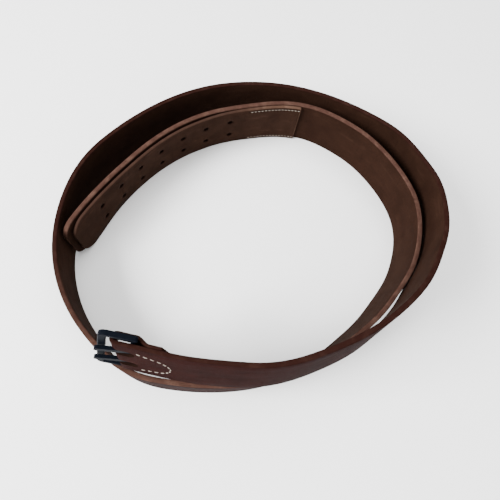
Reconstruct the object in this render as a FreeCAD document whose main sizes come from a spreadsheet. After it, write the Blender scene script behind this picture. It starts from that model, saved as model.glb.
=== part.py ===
"""Heavy leather double-prong belt, coiled about 1.8 turns and standing on its lower edge.

Millimetres, +Z up.  The origin is the middle of the footprint, on the surface that the belt
stands on, and the buckle end lies over the front of the coil.  The strap's route is a list of
stations; everything sewn or hinged to the strap is placed from that route.
"""

import FreeCAD, Part

import math
import os

Vector = FreeCAD.Vector

doc = FreeCAD.newDocument("belt")


# ---------------------------------------------------------------- driving dimensions
SIZES = {
    "strap_width": 45.0,
    "strap_thickness": 3.2,
    "skived_thickness": 2.2,
    "skived_length": 80.0,
    "tail_corner": 11.0,
    "billet_width": 43.4,
    "billet_thickness": 2.2,
    "billet_corner": 13.0,
    "billet_setback": 4.0,
    "billet_gap": 1.4,
    "seam_length": 42.8,
    "free_length": 166.0,
    "hinge_slit": 0.5,
    "hole_diameter": 4.0,
    "hole_pitch": 20.6,
    "hole_rows": 18.0,
    "hole_pairs": 7.0,
    "tip_to_hole": 29.0,
    "fold_radius": 1.5,
    "leg_thickness": 1.8,
    "channel_length": 10.5,
    "channel_taper": 5.0,
    "leg_length": 30.0,
    "chape_length": 22.5,
    "slot_width": 8.0,
    "slot_behind": 4.6,
    "bar_diameter": 2.4,
    "bar_setback": 4.4,
    "bar_skew": 11.0,
    "bar_swing": 4.5,
    "frame_inside": 48.8,
    "rail_width": 3.3,
    "frame_thickness": 2.8,
    "frame_reach": 15.4,
    "front_width": 4.0,
    "prong_width": 3.8,
    "prong_thickness": 2.0,
    "prong_wall": 1.1,
    "prong_slope": 6.2,
    "prong_reach": 18.5,
    "running_fit": 0.06,
    "thread_width": 0.9,
    "chape_pitch": 4.0,
    "chape_stitch": 2.7,
    "billet_pitch": 2.7,
    "billet_stitch": 1.9,
    "stitch_margin": 3.0,
}

sheet = doc.addObject("Spreadsheet::Sheet", "dimensions")
for row, (alias, value) in enumerate(SIZES.items(), start=1):
    sheet.set(f"A{row}", alias)
    sheet.set(f"B{row}", str(value))
    sheet.setAlias(f"B{row}", alias)
doc.recompute()


def size(alias):
    """Value of one dimension, read back from the sheet."""
    return float(sheet.get(alias))


WIDTH = size("strap_width")
HALF = size("strap_thickness") / 2
SKIVED = size("skived_thickness") / 2
FACE_GAP = 0.05

# The strap's route: x and y of the middle of its lower edge, the height of that edge, and how far
# its upper edge leans towards the inside of the coil, in degrees.  It starts where the sewn
# buckle end stops.
BUCKLE_TURN = [
    (-27, -110.7, 49.6, 11.7), (-8, -110, 49.6, 11.5), (10, -107.7, 49.6, 11.2),
    (27, -103.9, 49.5, 10), (42, -97.8, 49.3, 9), (56, -89.6, 48.9, 8.5), (70, -79.8, 48.3, 8),
    (81, -70.2, 47.5, 7), (89, -61, 46.6, 5.4), (95.6, -52.4, 44.9, 4.6),
    (103.2, -41.6, 41.4, 4), (114, -20, 34.4, 3.6),
    (120.8, -2, 29.2, 3.4), (124, 21, 23.6, 3.2), (122.6, 41, 18.8, 3), (116.8, 57.6, 14.8, 3),
    (107.6, 73.4, 11, 3), (96.4, 87.5, 7.6, 3),
]
OUTER_TURN = [
    (80.5, 99, 5, 3), (56, 109.3, 2.6, 3), (30, 115, 1.1, 3), (5, 115.8, 0.4, 3),
    (-22, 111.2, 0.1, 3), (-47.5, 101.7, 0, 3), (-72, 85.8, 0, 3), (-93, 65, 0, 3),
    (-109.5, 42.4, 0, 3), (-120.4, 21, 0, 3), (-125, 0, 0, 3), (-124.6, -22, 0, 2.5),
    (-119.4, -47, 0, 2.5), (-107.5, -71, 0, 2.5), (-91, -90, 0, 2.5), (-73.5, -103.2, 0, 2.5),
    (-56, -112.8, 0, 3), (-39.5, -116, 0, 3), (-23, -115.4, 0, 3), (-7, -113.2, 0, 2.5),
]
INNER_TURN = [
    (9, -109.6, 0, 2), (25, -104.4, 0, 1), (40.5, -97, 0, 0), (55, -87, 0, -1),
    (69.5, -73.3, 0, -2), (82, -58.5, 0, -3), (93.8, -42.6, 0, -3.5), (103.6, -24.4, 0, -3.5),
    (110.9, -8.2, 0, -3), (115, 10, 0, -1.5), (115.5, 27, 0, 0), (111.9, 43.4, 0, 1),
    (103.2, 59, 0, 2), (89.6, 74.2, 0, 2.5), (72, 88, 0, 3), (52, 97.3, 0, 3.5),
    (33.3, 102.4, 0, 4), (8, 102, 0, 4.3), (-20.6, 92.4, 0, 5), (-44.5, 81.2, 0, 5.8),
    (-66.3, 65, 0, 6.5), (-83.5, 45.2, 0, 7), (-95.8, 25.2, 0, 7.3), (-104.3, 6.2, 0, 6),
    (-110.2, -13.5, 0, 3), (-117, -39.5, 0, 1.8),
]


# ---------------------------------------------------------------- strap route
def ruled_face(first, second):
    """Face ruled between two curves that share their knots."""
    poles = [[one, other] for one, other in zip(first.getPoles(), second.getPoles())]
    surface = Part.BSplineSurface()
    surface.buildFromPolesMultsKnots(
        poles, first.getMultiplicities(), [2, 2], first.getKnots(), [0, 1],
        False, False, first.Degree, 1)
    return surface.toShape()


class Route:
    """Middle surface of the strap, ruled between a foot curve and a head curve."""

    def __init__(self, stations):
        places = []
        for x, y, lift, lean in stations:
            corner_drop = HALF * math.sin(math.radians(abs(lean)))
            places.append(Vector(x, y, lift + corner_drop))
        spine = Part.BSplineCurve()
        spine.interpolate(Points=places)
        heads = []
        for place, (x, y, lift, lean) in zip(places, stations):
            along = spine.tangent(spine.parameter(place))[0]
            inward = Vector(0, 0, 1).cross(along).normalize()
            upright = along.cross(inward)
            tilt = math.radians(lean)
            heads.append(place + (upright * math.cos(tilt) + inward * math.sin(tilt)) * WIDTH)
        lengths = [0.0]
        for first, second in zip(places, places[1:]):
            lengths.append(lengths[-1] + (second - first).Length)
        self.length = lengths[-1]
        self.knots = [length / self.length for length in lengths]
        self.foot = Part.BSplineCurve()
        self.foot.interpolate(Points=places, Parameters=self.knots)
        self.head = Part.BSplineCurve()
        self.head.interpolate(Points=heads, Parameters=self.knots)

    def frame(self, share):
        """Foot point, along, inward and upward unit vectors at a share of the route, 0 to 1."""
        foot = self.foot.value(share)
        up = (self.head.value(share) - foot).normalize()
        along = self.foot.tangent(share)[0]
        inward = up.cross(along).normalize()
        along = inward.cross(up).normalize()
        return foot, along, inward, up

    def point(self, share, inward, height):
        """Point at a distance inward of the middle surface and a height up the strap."""
        foot, _, towards_inside, up = self.frame(share)
        return foot + towards_inside * inward + up * height

    def band(self, shares, outside, inside, low, high):
        """Closed solid between two offsets of the middle surface.

        outside and inside are functions of the share that give the offsets inward.
        """
        def edge(offset, height):
            curve = Part.BSplineCurve()
            points = [self.point(share, offset(share), height) for share in shares]
            curve.interpolate(Points=points, Parameters=shares)
            return curve

        corners = [edge(outside, low), edge(inside, low), edge(inside, high), edge(outside, high)]
        faces = []
        for first, second in zip(corners, corners[1:] + corners[:1]):
            faces.append(ruled_face(first, second))
        for share in (shares[0], shares[-1]):
            loop = [curve.value(share) for curve in corners]
            faces.append(Part.Face(Part.makePolygon(loop + loop[:1])))
        shell = Part.makeShell(faces)
        shell.sewShape()
        solid = Part.makeSolid(shell)
        if solid.Volume < 0:
            shell.reverse()
            solid = Part.makeSolid(shell)
        return solid

    def corner_cutters(self, share, low, high, radius, depth):
        """Two tools that round the corners of an end of a band at a share of the route."""
        foot, along, inward, up = self.frame(share)
        tools = []
        for level, rise in ((low, up), (high, up * -1)):
            corner = foot + up * level
            block = Part.makeBox(radius + 3, radius + 3, depth, Vector(-radius, -3, -depth / 2))
            disc = Part.makeCylinder(radius, depth + 2, Vector(-radius, radius, -depth / 2 - 1))
            keep = Part.makeBox(radius + 3, radius + 3, depth + 2,
                                Vector(-2 * radius - 3, -3, -depth / 2 - 1))
            tool = block.cut(disc).cut(keep)
            turned = placed(corner, along, rise, along.cross(rise))
            tools.append(tool.transformed(turned.toMatrix()))
        return tools


route = Route(BUCKLE_TURN + OUTER_TURN + INNER_TURN)


def placed(foot, x_axis, y_axis, z_axis):
    """Placement with its origin at foot and its axes along three unit vectors."""
    turn = FreeCAD.Rotation(x_axis, y_axis, z_axis, "XYZ")
    return FreeCAD.Placement(foot, turn)


def feature(label, shape):
    """Document object that holds a finished shape."""
    made = doc.addObject("Part::Feature", label)
    made.Label = label
    made.Shape = shape
    return made


# ---------------------------------------------------------------- main strap
# Chape frame: X from the fold into the strap, Y inward, Z up the strap's width, with its origin
# at the foot of the middle surface, level with the centre of the fold.
start, start_along, start_inward, start_up = route.frame(0)
chape_origin = start - start_along * size("chape_length")
chape = placed(chape_origin, start_along, start_inward, start_up)
gap_middle = SKIVED + size("fold_radius")
gap_far = SKIVED + 2 * size("fold_radius")
leg_face = gap_far + size("leg_thickness")
nose = (leg_face + SKIVED) / 2


def half_thickness(share):
    """Half the strap's thickness; the leather is skived towards the fold."""
    grown = min(share * route.length / size("skived_length"), 1.0)
    return SKIVED + (HALF - SKIVED) * grown


def outline_face(points, nose_from, nose_middle):
    """Face in the chape frame's XY plane; one side of the outline is an arc."""
    sides = []
    for index, (first, second) in enumerate(zip(points, points[1:] + points[:1])):
        start_point = Vector(*first, 0)
        end_point = Vector(*second, 0)
        if index == nose_from:
            sides.append(Part.Arc(start_point, Vector(*nose_middle, 0), end_point).toShape())
        else:
            sides.append(Part.makeLine(start_point, end_point))
    return Part.Face(Part.Wire(sides))


def fold_section():
    """Section of the folded end, with the bar channel as a hole."""
    end = size("chape_length")
    channel = size("channel_length")
    closed = channel + size("channel_taper")
    sewn_face = SKIVED + size("leg_thickness")
    radius = size("fold_radius")
    leather = outline_face([
        (end, -SKIVED), (0, -SKIVED), (0, leg_face), (channel, leg_face), (closed, sewn_face),
        (closed + 1, sewn_face), (closed + 1, SKIVED), (end, SKIVED),
    ], 1, (-nose, leg_face - nose))
    hollow = outline_face([
        (0, SKIVED), (0, gap_far), (channel, gap_far), (closed, SKIVED),
    ], 0, (-radius, gap_middle))
    return leather.cut(hollow)


def folded_leg():
    """Sewn part of the turned-back leg, with its rounded end, sunk a little into the strap."""
    begin = size("channel_length") + size("channel_taper")
    end = size("leg_length")
    shoulder = end - 7.0
    sunk = SKIVED - 0.5
    outline = Part.Wire([
        Part.makeLine(Vector(shoulder, sunk, 0), Vector(begin, sunk, 0)),
        Part.makeLine(Vector(begin, sunk, 0), Vector(begin, sunk, WIDTH)),
        Part.makeLine(Vector(begin, sunk, WIDTH), Vector(shoulder, sunk, WIDTH)),
        Part.Arc(Vector(shoulder, sunk, WIDTH), Vector(end, sunk, WIDTH / 2),
                 Vector(shoulder, sunk, 0)).toShape(),
    ])
    return Part.Face(outline).extrude(Vector(0, size("leg_thickness") + 0.5, 0))


def prong_slots():
    """Two round-ended slots through the fold, open at its nose."""
    width = size("slot_width")
    depth = leg_face + SKIVED + 2
    behind = size("bar_setback") + size("slot_behind") - width / 2
    cutters = []
    for row in (-1, 1):
        middle = WIDTH / 2 + row * size("hole_rows") / 2
        corner = Vector(-nose - 2, -SKIVED - 1, middle - width / 2)
        box = Part.makeBox(nose + 2 + behind, depth, width, corner)
        end = Part.makeCylinder(width / 2, depth, Vector(behind, -SKIVED - 1, middle), Vector(0, 1, 0))
        cutters.append(box.fuse(end))
    return cutters


fold = fold_section().extrude(Vector(0, 0, WIDTH))
fold = fold.fuse(folded_leg()).removeSplitter()
for slot in prong_slots():
    fold = fold.cut(slot)
fold = fold.transformed(chape.toMatrix())

strap_band = route.band(
    route.knots, lambda share: -half_thickness(share), half_thickness, 0, WIDTH)
for tool in route.corner_cutters(1, 0, WIDTH, size("tail_corner"), 2 * HALF + 0.6):
    strap_band = strap_band.cut(tool)
main_strap = feature("main_strap", strap_band.fuse(fold).removeSplitter())


# ---------------------------------------------------------------- billet
BILLET_LOW = (WIDTH - size("billet_width")) / 2
BILLET_HIGH = WIDTH - BILLET_LOW
tip_share = 1 - size("billet_setback") / route.length
flex_share = tip_share - size("free_length") / route.length
seam_share = flex_share - size("seam_length") / route.length
slit_share = flex_share + size("hinge_slit") / route.length


def billet_outside(share):
    """Offset of the billet's outer face, which leaves the strap past the seam."""
    rise = min(max((share - flex_share) * route.length / 45.0, 0.0), 1.0)
    return HALF + FACE_GAP + size("billet_gap") * rise * rise * (3 - 2 * rise)


def billet_inside(share):
    """Offset of the billet's inner face."""
    return billet_outside(share) + size("billet_thickness")


def steps(first, last, count):
    """Evenly spaced shares from first to last."""
    return [first + (last - first) * index / count for index in range(count + 1)]


billet_heel = feature("billet_heel", route.band(
    steps(seam_share, flex_share, 4), billet_outside, billet_inside, BILLET_LOW, BILLET_HIGH))

tongue = route.band(
    steps(slit_share, tip_share, 12), billet_outside, billet_inside, BILLET_LOW, BILLET_HIGH)
for tool in route.corner_cutters(
        tip_share, BILLET_LOW, BILLET_HIGH, size("billet_corner"), 4 * HALF + 8):
    tongue = tongue.cut(tool)
for pair in range(int(size("hole_pairs"))):
    back = size("tip_to_hole") + pair * size("hole_pitch")
    share = tip_share - back / route.length
    foot, along, inward, up = route.frame(share)
    for row in (-1, 1):
        height = WIDTH / 2 + row * size("hole_rows") / 2
        mouth = route.point(share, billet_outside(share) - 1, height)
        drill = Part.makeCylinder(size("hole_diameter") / 2, size("billet_thickness") + 2, mouth, inward)
        tongue = tongue.cut(drill)
billet_tongue = feature("billet_tongue", tongue)


# ---------------------------------------------------------------- buckle
# Buckle frame: X from the heel bar to the front bar, Y up along the heel bar, Z inward.
skew = math.radians(size("bar_skew"))
swing = math.radians(size("bar_swing"))
bar_middle = chape.multVec(Vector(size("bar_setback"), gap_middle, WIDTH / 2))
bar_up = start_along * math.sin(skew) + start_up * math.cos(skew)
straight = start_up * math.sin(skew) - start_along * math.cos(skew)
reach = straight * math.cos(swing) - start_inward * math.sin(swing)
inner_side = start_inward * math.cos(swing) + straight * math.sin(swing)
buckle = placed(bar_middle, reach, bar_up, inner_side)


def primitive(kind, name, **expressions):
    """Part primitive whose properties are bound to the sheet."""
    made = doc.addObject(kind, name)
    for key, expression in expressions.items():
        made.setExpression(key.replace("__", "."), expression)
    return made


def cylinder_along_y(name, radius, length, x="0", z="0"):
    """Cylinder along the heel bar, centred on the strap's middle."""
    made = primitive("Part::Cylinder", name, Radius=radius, Height=length)
    made.Placement = FreeCAD.Placement(Vector(), FreeCAD.Rotation(Vector(1, 0, 0), -90))
    made.setExpression("Placement.Base.x", x)
    made.setExpression("Placement.Base.y", f"-({length}) / 2")
    made.setExpression("Placement.Base.z", z)
    return made


def joined(name, base, *tools):
    """Fusion of primitives."""
    made = doc.addObject("Part::MultiFuse", name)
    made.Shapes = [base, *tools]
    return made


def removed(name, base, tool):
    """Base with the tool cut away."""
    made = doc.addObject("Part::Cut", name)
    made.Base = base
    made.Tool = tool
    return made


D = "dimensions."
plate = primitive(
    "Part::Box", "frame_plate",
    Length=f"{D}frame_reach + {D}front_width / 2 + {D}bar_diameter / 2 + 0.6",
    Width=f"{D}frame_inside + 2 * {D}rail_width",
    Height=f"{D}frame_thickness",
    Placement__Base__x=f"-({D}bar_diameter / 2 + 0.6)",
    Placement__Base__y=f"-({D}frame_inside / 2 + {D}rail_width)",
    Placement__Base__z=f"-{D}frame_thickness / 2")
window = primitive(
    "Part::Box", "frame_window",
    Length=f"{D}frame_reach - {D}front_width / 2 + 10",
    Width=f"{D}frame_inside",
    Height=f"{D}frame_thickness + 2",
    Placement__Base__x="-10",
    Placement__Base__y=f"-{D}frame_inside / 2",
    Placement__Base__z=f"-{D}frame_thickness / 2 - 1")
corners = doc.addObject("Part::Fillet", "frame_corners")
corners.Base = plate
doc.recompute()
outer_corners = [
    (index, 3.8 if edge.CenterOfMass.x > 0 else 1.6, 3.8 if edge.CenterOfMass.x > 0 else 1.6)
    for index, edge in enumerate(plate.Shape.Edges, start=1)
    if abs(edge.Length - size("frame_thickness")) < 1e-6]
corners.Edges = outer_corners
ring = removed("frame_ring", corners, window)
heel_bar = cylinder_along_y("heel_bar", f"{D}bar_diameter / 2", f"{D}frame_inside + {D}rail_width")
frame_blank = joined("frame_blank", ring, heel_bar)
doc.recompute()
buckle_frame = doc.addObject("Part::Fillet", "buckle_frame")
buckle_frame.Label = "buckle_frame"
buckle_frame.Base = frame_blank
face_height = size("frame_thickness") / 2
rim = []
for index, edge in enumerate(frame_blank.Shape.Edges, start=1):
    middle = edge.CenterOfMass
    on_face = abs(abs(middle.z) - face_height) < 1e-6 and edge.BoundBox.ZLength < 1e-6
    if on_face and edge.Length > 1.0 and middle.x > size("bar_diameter"):
        rim.append((index, 0.7, 0.7))
buckle_frame.Edges = rim
buckle_frame.Placement = buckle


def prong(label, row):
    """Flat prong rolled round the heel bar, lying on the outer side of the front bar."""
    outer = f"{D}bar_diameter / 2 + {D}running_fit + {D}prong_wall"
    level = f"({D}prong_thickness + 0.4)"
    loop = cylinder_along_y(label + "_loop", outer, f"{D}prong_width")
    shank = primitive(
        "Part::Box", label + "_shank",
        Length=f"{D}prong_reach", Width=f"{D}prong_width", Height=f"{D}prong_thickness")
    shank.Placement.Rotation = FreeCAD.Rotation(Vector(0, 1, 0), size("prong_slope"))
    shank.setExpression("Placement.Base.x", f"-{level} * sin({D}prong_slope)")
    shank.setExpression("Placement.Base.y", f"-{D}prong_width / 2")
    shank.setExpression("Placement.Base.z", f"-{level} * cos({D}prong_slope)")
    bore = cylinder_along_y(label + "_bore", f"{D}bar_diameter / 2 + {D}running_fit",
                            f"{D}prong_width + 2")
    doc.recompute()
    tip_edges = []
    for index, edge in enumerate(shank.Shape.Edges, start=1):
        at_tip = edge.CenterOfMass.x > size("prong_reach") / 2
        if at_tip and abs(edge.Length - size("prong_thickness")) < 1e-6:
            tip_edges.append((index, 1.8, 1.8))
    rounded = doc.addObject("Part::Fillet", label + "_rounded")
    rounded.Base = shank
    rounded.Edges = tip_edges
    made = removed(label, joined(label + "_blank", loop, rounded), bore)
    made.Label = label
    shift = Vector(0, row * size("hole_rows") / 2, 0)
    made.Placement = buckle.multiply(FreeCAD.Placement(shift, FreeCAD.Rotation()))
    return made


prong_upper = prong("prong_upper", 1)
prong_lower = prong("prong_lower", -1)


# ---------------------------------------------------------------- thread
def stitch(middle, along, outward, length):
    """One stitch: a short half-round thread lying on a face."""
    radius = size("thread_width") / 2
    across = outward.cross(along)
    straight = length - 2 * radius
    profile = placed(middle - along * (straight / 2), along, across, outward)
    rod = Part.makeCylinder(radius, straight, Vector(), Vector(1, 0, 0))
    ends = [Part.makeSphere(radius, Vector(at, 0, 0)) for at in (0, straight)]
    rod = rod.fuse(ends)
    under = Part.makeBox(length + 2, 2 * radius + 2, radius + 1, Vector(-radius - 1, -radius - 1, -radius - 1))
    half = rod.cut(under).removeSplitter()
    return half.transformed(profile.toMatrix())


def seam_row(height):
    """Stitches along the billet seam, on the billet's face and on the strap's outer face."""
    count = int(size("seam_length") // size("billet_pitch"))
    first = seam_share + 1.6 / route.length
    made = []
    for index in range(count):
        share = first + index * size("billet_pitch") / route.length
        foot, along, inward, up = route.frame(share)
        inner = route.point(share, billet_inside(share) + FACE_GAP, height)
        outer = route.point(share, -HALF - FACE_GAP, height)
        made.append(stitch(inner, along, inward, size("billet_stitch")))
        made.append(stitch(outer, along, inward * -1, size("billet_stitch")))
    return Part.makeCompound(made)


billet_thread_upper = feature("billet_thread_upper", seam_row(BILLET_HIGH - size("stitch_margin")))
billet_thread_lower = feature("billet_thread_lower", seam_row(BILLET_LOW + size("stitch_margin")))


def chape_seam():
    """U-shaped seam of the folded end, open towards the buckle, on both faces."""
    turn = 7.0
    leg_start = 9.4
    leg_end = size("leg_length") - 2.5 - turn
    bend_middle = Vector(leg_end + turn, 0, 20.4)
    corners_of_u = [
        Vector(leg_start, 0, 36.4), Vector(leg_end, 0, 31.0), Vector(leg_end, 0, 9.8),
        Vector(leg_start, 0, 7.4)]
    path = Part.Wire([
        Part.makeLine(corners_of_u[0], corners_of_u[1]),
        Part.Arc(corners_of_u[1], bend_middle, corners_of_u[2]).toShape(),
        Part.makeLine(corners_of_u[2], corners_of_u[3])])
    count = round(path.Length / size("chape_pitch"))
    points = path.discretize(Number=2 * count + 1)
    sewn = size("channel_length") + size("channel_taper") + 0.5
    made = []
    for index in range(1, 2 * count, 2):
        along = (points[index + 1] - points[index - 1]).normalize()
        outer = points[index] + Vector(0, -SKIVED - FACE_GAP, 0)
        made.append(stitch(outer, along, Vector(0, -1, 0), size("chape_stitch")))
        if points[index].x - size("chape_stitch") / 2 > sewn:
            inner = points[index] + Vector(0, SKIVED + size("leg_thickness") + FACE_GAP, 0)
            made.append(stitch(inner, along, Vector(0, 1, 0), size("chape_stitch")))
    return Part.makeCompound(made).transformed(chape.toMatrix())


chape_thread = feature("chape_thread", chape_seam())


# ---------------------------------------------------------------- check and write
doc.recompute()
for made in doc.Objects:
    if "Invalid" in made.State or "Error" in made.State:
        raise RuntimeError(f"{made.Label} failed: {made.State}")

NODES = [
    main_strap, billet_heel, billet_tongue, buckle_frame, prong_upper, prong_lower,
    billet_thread_upper, billet_thread_lower, chape_thread,
]
os.makedirs("parts", exist_ok=True)
for node in NODES:
    if node.Shape.isNull() or not node.Shape.isValid():
        raise RuntimeError(f"{node.Label} is not a valid shape")
for node in NODES:
    node.Shape.exportStep(f"parts/{node.Label}.step")
    box = node.Shape.BoundBox
    print(node.Label, len(node.Shape.Solids), "solids", round(node.Shape.Volume, 1), "mm3",
          [round(value, 2) for value in (box.XMin, box.XMax, box.YMin, box.YMax, box.ZMin, box.ZMax)])

hinge = route.point(flex_share, billet_inside(flex_share), 0)
print("buckle hinge at", bar_middle, "along", bar_up, "reach", reach, "inward", start_inward)
print("billet hinge at", hinge, "along", route.frame(flex_share)[3])
print("route length", route.length)
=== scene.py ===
"""Looks of a heavy leather double-prong belt, coiled and standing on its lower edge.

Each leather piece is cut, punched and edged flat, as on a bench, and then laid along the strap's
route.  Flat places are (along the strap, towards the inside of the coil, up the strap).  All
sizes are in metres.
"""

import logging
import math
from collections.abc import Sequence
from dataclasses import dataclass
from enum import Enum
from typing import Any

import bpy
import numpy as np
from mathutils import Matrix, Vector


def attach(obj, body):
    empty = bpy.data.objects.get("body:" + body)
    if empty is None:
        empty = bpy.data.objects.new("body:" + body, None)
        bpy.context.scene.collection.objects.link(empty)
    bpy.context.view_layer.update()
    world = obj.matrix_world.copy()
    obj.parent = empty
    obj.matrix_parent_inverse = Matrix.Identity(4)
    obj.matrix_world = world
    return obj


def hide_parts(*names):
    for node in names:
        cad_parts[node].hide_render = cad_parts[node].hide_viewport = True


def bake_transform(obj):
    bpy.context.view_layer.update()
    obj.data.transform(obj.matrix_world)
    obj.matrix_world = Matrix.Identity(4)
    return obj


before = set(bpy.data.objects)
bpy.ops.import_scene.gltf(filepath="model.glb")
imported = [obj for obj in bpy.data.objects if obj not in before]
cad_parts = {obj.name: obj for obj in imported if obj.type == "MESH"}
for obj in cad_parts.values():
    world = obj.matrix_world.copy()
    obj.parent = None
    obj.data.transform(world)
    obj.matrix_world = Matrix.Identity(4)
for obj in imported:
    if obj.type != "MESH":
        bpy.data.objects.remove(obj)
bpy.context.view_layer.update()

LOG = logging.getLogger("belt")
MM = 0.001
FLAT = "flat"

STRAP_WIDTH = 45 * MM
STRAP_THICKNESS = 3.2 * MM
HOLE_ROW_GAP = 18 * MM

SAME_PLACE = 1e-6
CUT_REACH = 1e-5
LEATHER_SMOOTH = 40.0
THREAD_SMOOTH = 60.0
LEATHER_GLOSS = 0.004

Colour = tuple[float, float, float]
Place = tuple[float, float, float]
Band = tuple[float, float]

# x and y of the middle of the strap's lower edge and the height of that edge, in millimetres, and
# how far its upper edge leans towards the inside of the coil, in degrees.
BUCKLE_TURN = [
    (-27, -110.7, 49.6, 11.7), (-8, -110, 49.6, 11.5), (10, -107.7, 49.6, 11.2),
    (27, -103.9, 49.5, 10), (42, -97.8, 49.3, 9), (56, -89.6, 48.9, 8.5), (70, -79.8, 48.3, 8),
    (81, -70.2, 47.5, 7), (89, -61, 46.6, 5.4), (95.6, -52.4, 44.9, 4.6),
    (103.2, -41.6, 41.4, 4), (114, -20, 34.4, 3.6),
    (120.8, -2, 29.2, 3.4), (124, 21, 23.6, 3.2), (122.6, 41, 18.8, 3), (116.8, 57.6, 14.8, 3),
    (107.6, 73.4, 11, 3), (96.4, 87.5, 7.6, 3),
]
OUTER_TURN = [
    (80.5, 99, 5, 3), (56, 109.3, 2.6, 3), (30, 115, 1.1, 3), (5, 115.8, 0.4, 3),
    (-22, 111.2, 0.1, 3), (-47.5, 101.7, 0, 3), (-72, 85.8, 0, 3), (-93, 65, 0, 3),
    (-109.5, 42.4, 0, 3), (-120.4, 21, 0, 3), (-125, 0, 0, 3), (-124.6, -22, 0, 2.5),
    (-119.4, -47, 0, 2.5), (-107.5, -71, 0, 2.5), (-91, -90, 0, 2.5), (-73.5, -103.2, 0, 2.5),
    (-56, -112.8, 0, 3), (-39.5, -116, 0, 3), (-23, -115.4, 0, 3), (-7, -113.2, 0, 2.5),
]
INNER_TURN = [
    (9, -109.6, 0, 2), (25, -104.4, 0, 1), (40.5, -97, 0, 0), (55, -87, 0, -1),
    (69.5, -73.3, 0, -2), (82, -58.5, 0, -3), (93.8, -42.6, 0, -3.5), (103.6, -24.4, 0, -3.5),
    (110.9, -8.2, 0, -3), (115, 10, 0, -1.5), (115.5, 27, 0, 0), (111.9, 43.4, 0, 1),
    (103.2, 59, 0, 2), (89.6, 74.2, 0, 2.5), (72, 88, 0, 3), (52, 97.3, 0, 3.5),
    (33.3, 102.4, 0, 4), (8, 102, 0, 4.3), (-20.6, 92.4, 0, 5), (-44.5, 81.2, 0, 5.8),
    (-66.3, 65, 0, 6.5), (-83.5, 45.2, 0, 7), (-95.8, 25.2, 0, 7.3), (-104.3, 6.2, 0, 6),
    (-110.2, -13.5, 0, 3), (-117, -39.5, 0, 1.8),
]


class Body(Enum):
    """CAD bodies that the new pieces ride on."""

    BELT = "belt"
    BILLET = "billet"


class Slot(Enum):
    """Material slots of the record."""

    STRAP = "strap_leather"
    BILLET = "billet_leather"
    METAL = "black_metal"
    THREAD = "thread"


class Side(Enum):
    """Material index of each side of a leather piece."""

    OUTER = 0
    INNER = 1
    EDGE = 2
    PUNCHED = 3


# ------------------------------------------------------------------ strap route
def smooth_step(share: np.ndarray) -> np.ndarray:
    """Smooth rise from 0 to 1 over shares 0 to 1, flat outside them."""
    held = np.clip(share, 0.0, 1.0)
    return held * held * (3 - 2 * held)


class Spline:
    """Smooth curve through points, whose end slopes come from its first and last four points."""

    def __init__(self, knots: np.ndarray, points: np.ndarray) -> None:
        """Solves for the slope at each point.

        Args:
            knots: Rising parameter of each point.
            points: One row per point.
        """
        self.knots = knots
        self.points = points
        gaps = np.diff(knots)[:, None]
        rises = np.diff(points, axis=0) / gaps
        count = len(knots)
        system = np.zeros((count, count))
        right = np.zeros_like(points)
        for end, chosen in ((0, slice(0, 4)), (count - 1, slice(count - 4, count))):
            system[end, end] = 1.0
            right[end] = np.polyfit(knots[chosen] - knots[end], points[chosen], 3)[-2]
        for index in range(1, count - 1):
            before, after = gaps[index - 1, 0], gaps[index, 0]
            system[index, index - 1:index + 2] = (1 / before, 2 / before + 2 / after, 1 / after)
            right[index] = 3 * (rises[index - 1] / before + rises[index] / after)
        self.slopes = np.linalg.solve(system, right)

    def at(self, where: np.ndarray) -> tuple[np.ndarray, np.ndarray]:
        """Points and slopes of the curve.

        Args:
            where: Parameters, which may lie a little past the ends.

        Returns:
            One row per parameter of places, and one of slopes.
        """
        index = np.clip(np.searchsorted(self.knots, where) - 1, 0, len(self.knots) - 2)
        gap = (self.knots[index + 1] - self.knots[index])[:, None]
        t = (where - self.knots[index])[:, None] / gap
        first, last = self.points[index], self.points[index + 1]
        leave, arrive = self.slopes[index] * gap, self.slopes[index + 1] * gap
        bend = 2 * (first - last) + leave + arrive
        ease = 3 * (last - first) - 2 * leave - arrive
        places = ((bend * t + ease) * t + leave) * t + first
        return places, ((3 * bend * t + 2 * ease) * t + leave) / gap


def unit(rows: np.ndarray) -> np.ndarray:
    """Rows scaled to length one."""
    return rows / np.linalg.norm(rows, axis=-1, keepdims=True)


@dataclass
class Fold:
    """Turned-back end of the strap round the buckle's bar, seen along the strap's width.

    Distances run backwards from the start of the route: straight, round the bar, then back
    along the strap, where the leg drops on to it.
    """

    straight: float = 22.5 * MM
    radius: float = 2.5 * MM
    drop: float = 3.0 * MM
    drop_from: float = 9.6 * MM
    drop_over: float = 6.8 * MM
    leg: float = 30.0 * MM
    leg_shoulder: float = 23.0 * MM
    leg_half: float = 0.9 * MM

    @property
    def arc(self) -> float:
        """Length round the bar."""
        return math.pi * self.radius

    @property
    def length(self) -> float:
        """Whole length of leather before the start of the route."""
        return self.straight + self.arc + self.leg

    def path(self, back: np.ndarray) -> tuple[np.ndarray, ...]:
        """Middle line of the leather.

        Args:
            back: Distances back from the start of the route.

        Returns:
            Place from the bar along the strap, place inward, and the two parts of the unit
            vector that points to the inner side.
        """
        turn = np.clip((back - self.straight) / self.radius, 0.0, math.pi)
        past = np.maximum(back - self.straight - self.arc, 0.0)
        share = (past - self.drop_from) / self.drop_over
        held = np.clip(share, 0.0, 1.0)
        slope = self.drop * 6 * held * (1 - held) / self.drop_over
        x = np.maximum(self.straight - back, 0.0) - self.radius * np.sin(turn) + past
        y = self.radius * (1 - np.cos(turn)) - self.drop * smooth_step(share)
        size = np.hypot(slope, 1.0)
        on_leg = past > 0
        normal_x = np.where(on_leg, -slope / size, np.sin(turn))
        normal_y = np.where(on_leg, -1.0 / size, np.cos(turn))
        return x, y, normal_x, normal_y


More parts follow.
